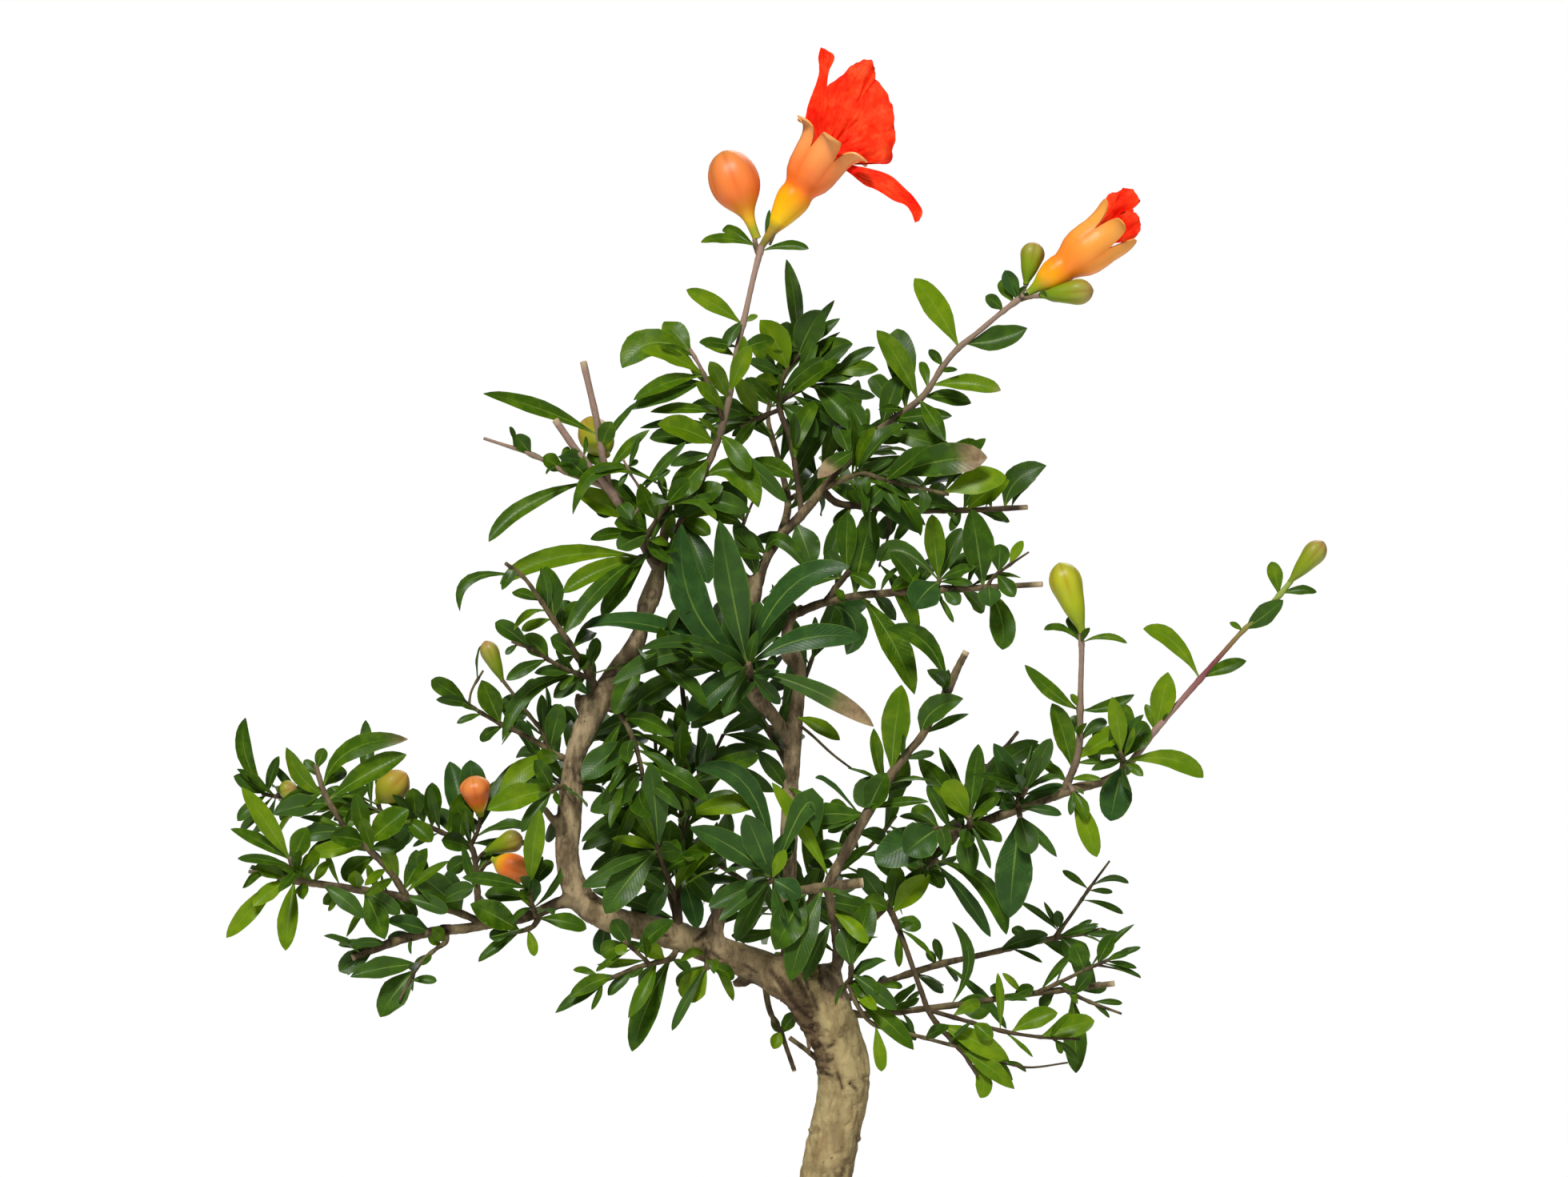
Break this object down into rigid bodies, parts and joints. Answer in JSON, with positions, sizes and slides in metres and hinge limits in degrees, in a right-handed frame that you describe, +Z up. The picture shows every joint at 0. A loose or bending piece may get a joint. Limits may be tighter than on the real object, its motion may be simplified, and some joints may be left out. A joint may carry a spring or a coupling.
{
  "type": "pomegranate bonsai",
  "caption": "Dwarf pomegranate bonsai in a plain oval pot: curved trunk, a limb swinging left, leafy shoots, scarlet flowers, buds and young fruits.",
  "frame": {"origin": "centre of the pot's flat underside", "axes": "+Z up, +X along the pot's length towards the tree's right side as seen from its front, -Y towards the front"},
  "size_m": [0.2988, 0.168, 0.4105],
  "materials": {
    "pot": "matte",
    "soil": "matte",
    "bark": "matte",
    "leaf_young": "satin",
    "leaf_mature": "satin",
    "leaf_deep": "satin",
    "bud_orange": "satin",
    "bud_green": "satin",
    "bud_yellow": "satin",
    "fruit": "satin",
    "calyx_open": "satin",
    "calyx_half": "satin",
    "petal": "matte",
    "stamen": "matte"
  },
  "bodies": {
    "root": {"pot": "pot", "soil": "soil", "trunk": "bark", "shoot_flower_stalk": "leaf_young", "shoot_crown_centre": "leaf_mature", "shoot_half_flower": "leaf_mature", "shoot_upper_right": "leaf_mature", "shoot_branch_one": "leaf_mature", "shoot_branch_two": "leaf_mature", "shoot_front_tuft": "leaf_deep", "shoot_top_left": "leaf_mature", "shoot_limb_top": "leaf_mature", "shoot_left_upper": "leaf_mature", "shoot_left_middle": "leaf_mature", "shoot_left_lower": "leaf_mature", "shoot_limb_right_upper": "leaf_mature", "shoot_limb_right_lower": "leaf_mature", "shoot_inner_stems": "leaf_mature", "shoot_left_branch": "leaf_young", "shoot_left_rear": "leaf_mature", "shoot_left_hanging": "leaf_mature", "shoot_left_tip": "leaf_deep", "shoot_left_fork": "leaf_mature", "shoot_centre_front": "leaf_deep", "shoot_stub_shoot": "leaf_mature", "shoot_right_first": "leaf_mature", "shoot_right_under": "leaf_mature", "shoot_right_second": "leaf_deep", "shoot_right_upright": "leaf_young", "shoot_right_end": "leaf_mature", "shoot_far_right": "leaf_young", "shoot_lower_first": "leaf_mature", "shoot_lower_second": "leaf_mature", "shoot_lower_hanging": "leaf_young", "shoot_trunk_side": "leaf_mature", "shoot_under_limb": "leaf_mature", "shoot_limb_underside": "leaf_young", "shoot_under_fork": "leaf_young", "shoot_back_crown": "leaf_mature", "shoot_back_middle": "leaf_deep", "shoot_back_left": "leaf_deep", "shoot_back_right": "leaf_mature", "shoot_back_low": "leaf_mature", "bud_orange": "bud_orange", "bud_green_upper": "bud_green", "bud_green_lower": "bud_green", "bud_yellow": "bud_yellow", "bud_far_right": "bud_green", "bud_small_left": "bud_green", "bud_olive": "bud_green", "bud_orange_left": "bud_orange", "bud_orange_lower": "bud_orange", "fruit_yellow_left": "fruit", "fruit_green_left": "bud_green", "fruit_yellow_top": "fruit", "flower_open_calyx": "calyx_open", "flower_open_petals": "petal", "flower_open_stamens": "stamen", "flower_half_calyx": "calyx_half", "flower_half_petals": "petal"}
  },
  "joints": []
}
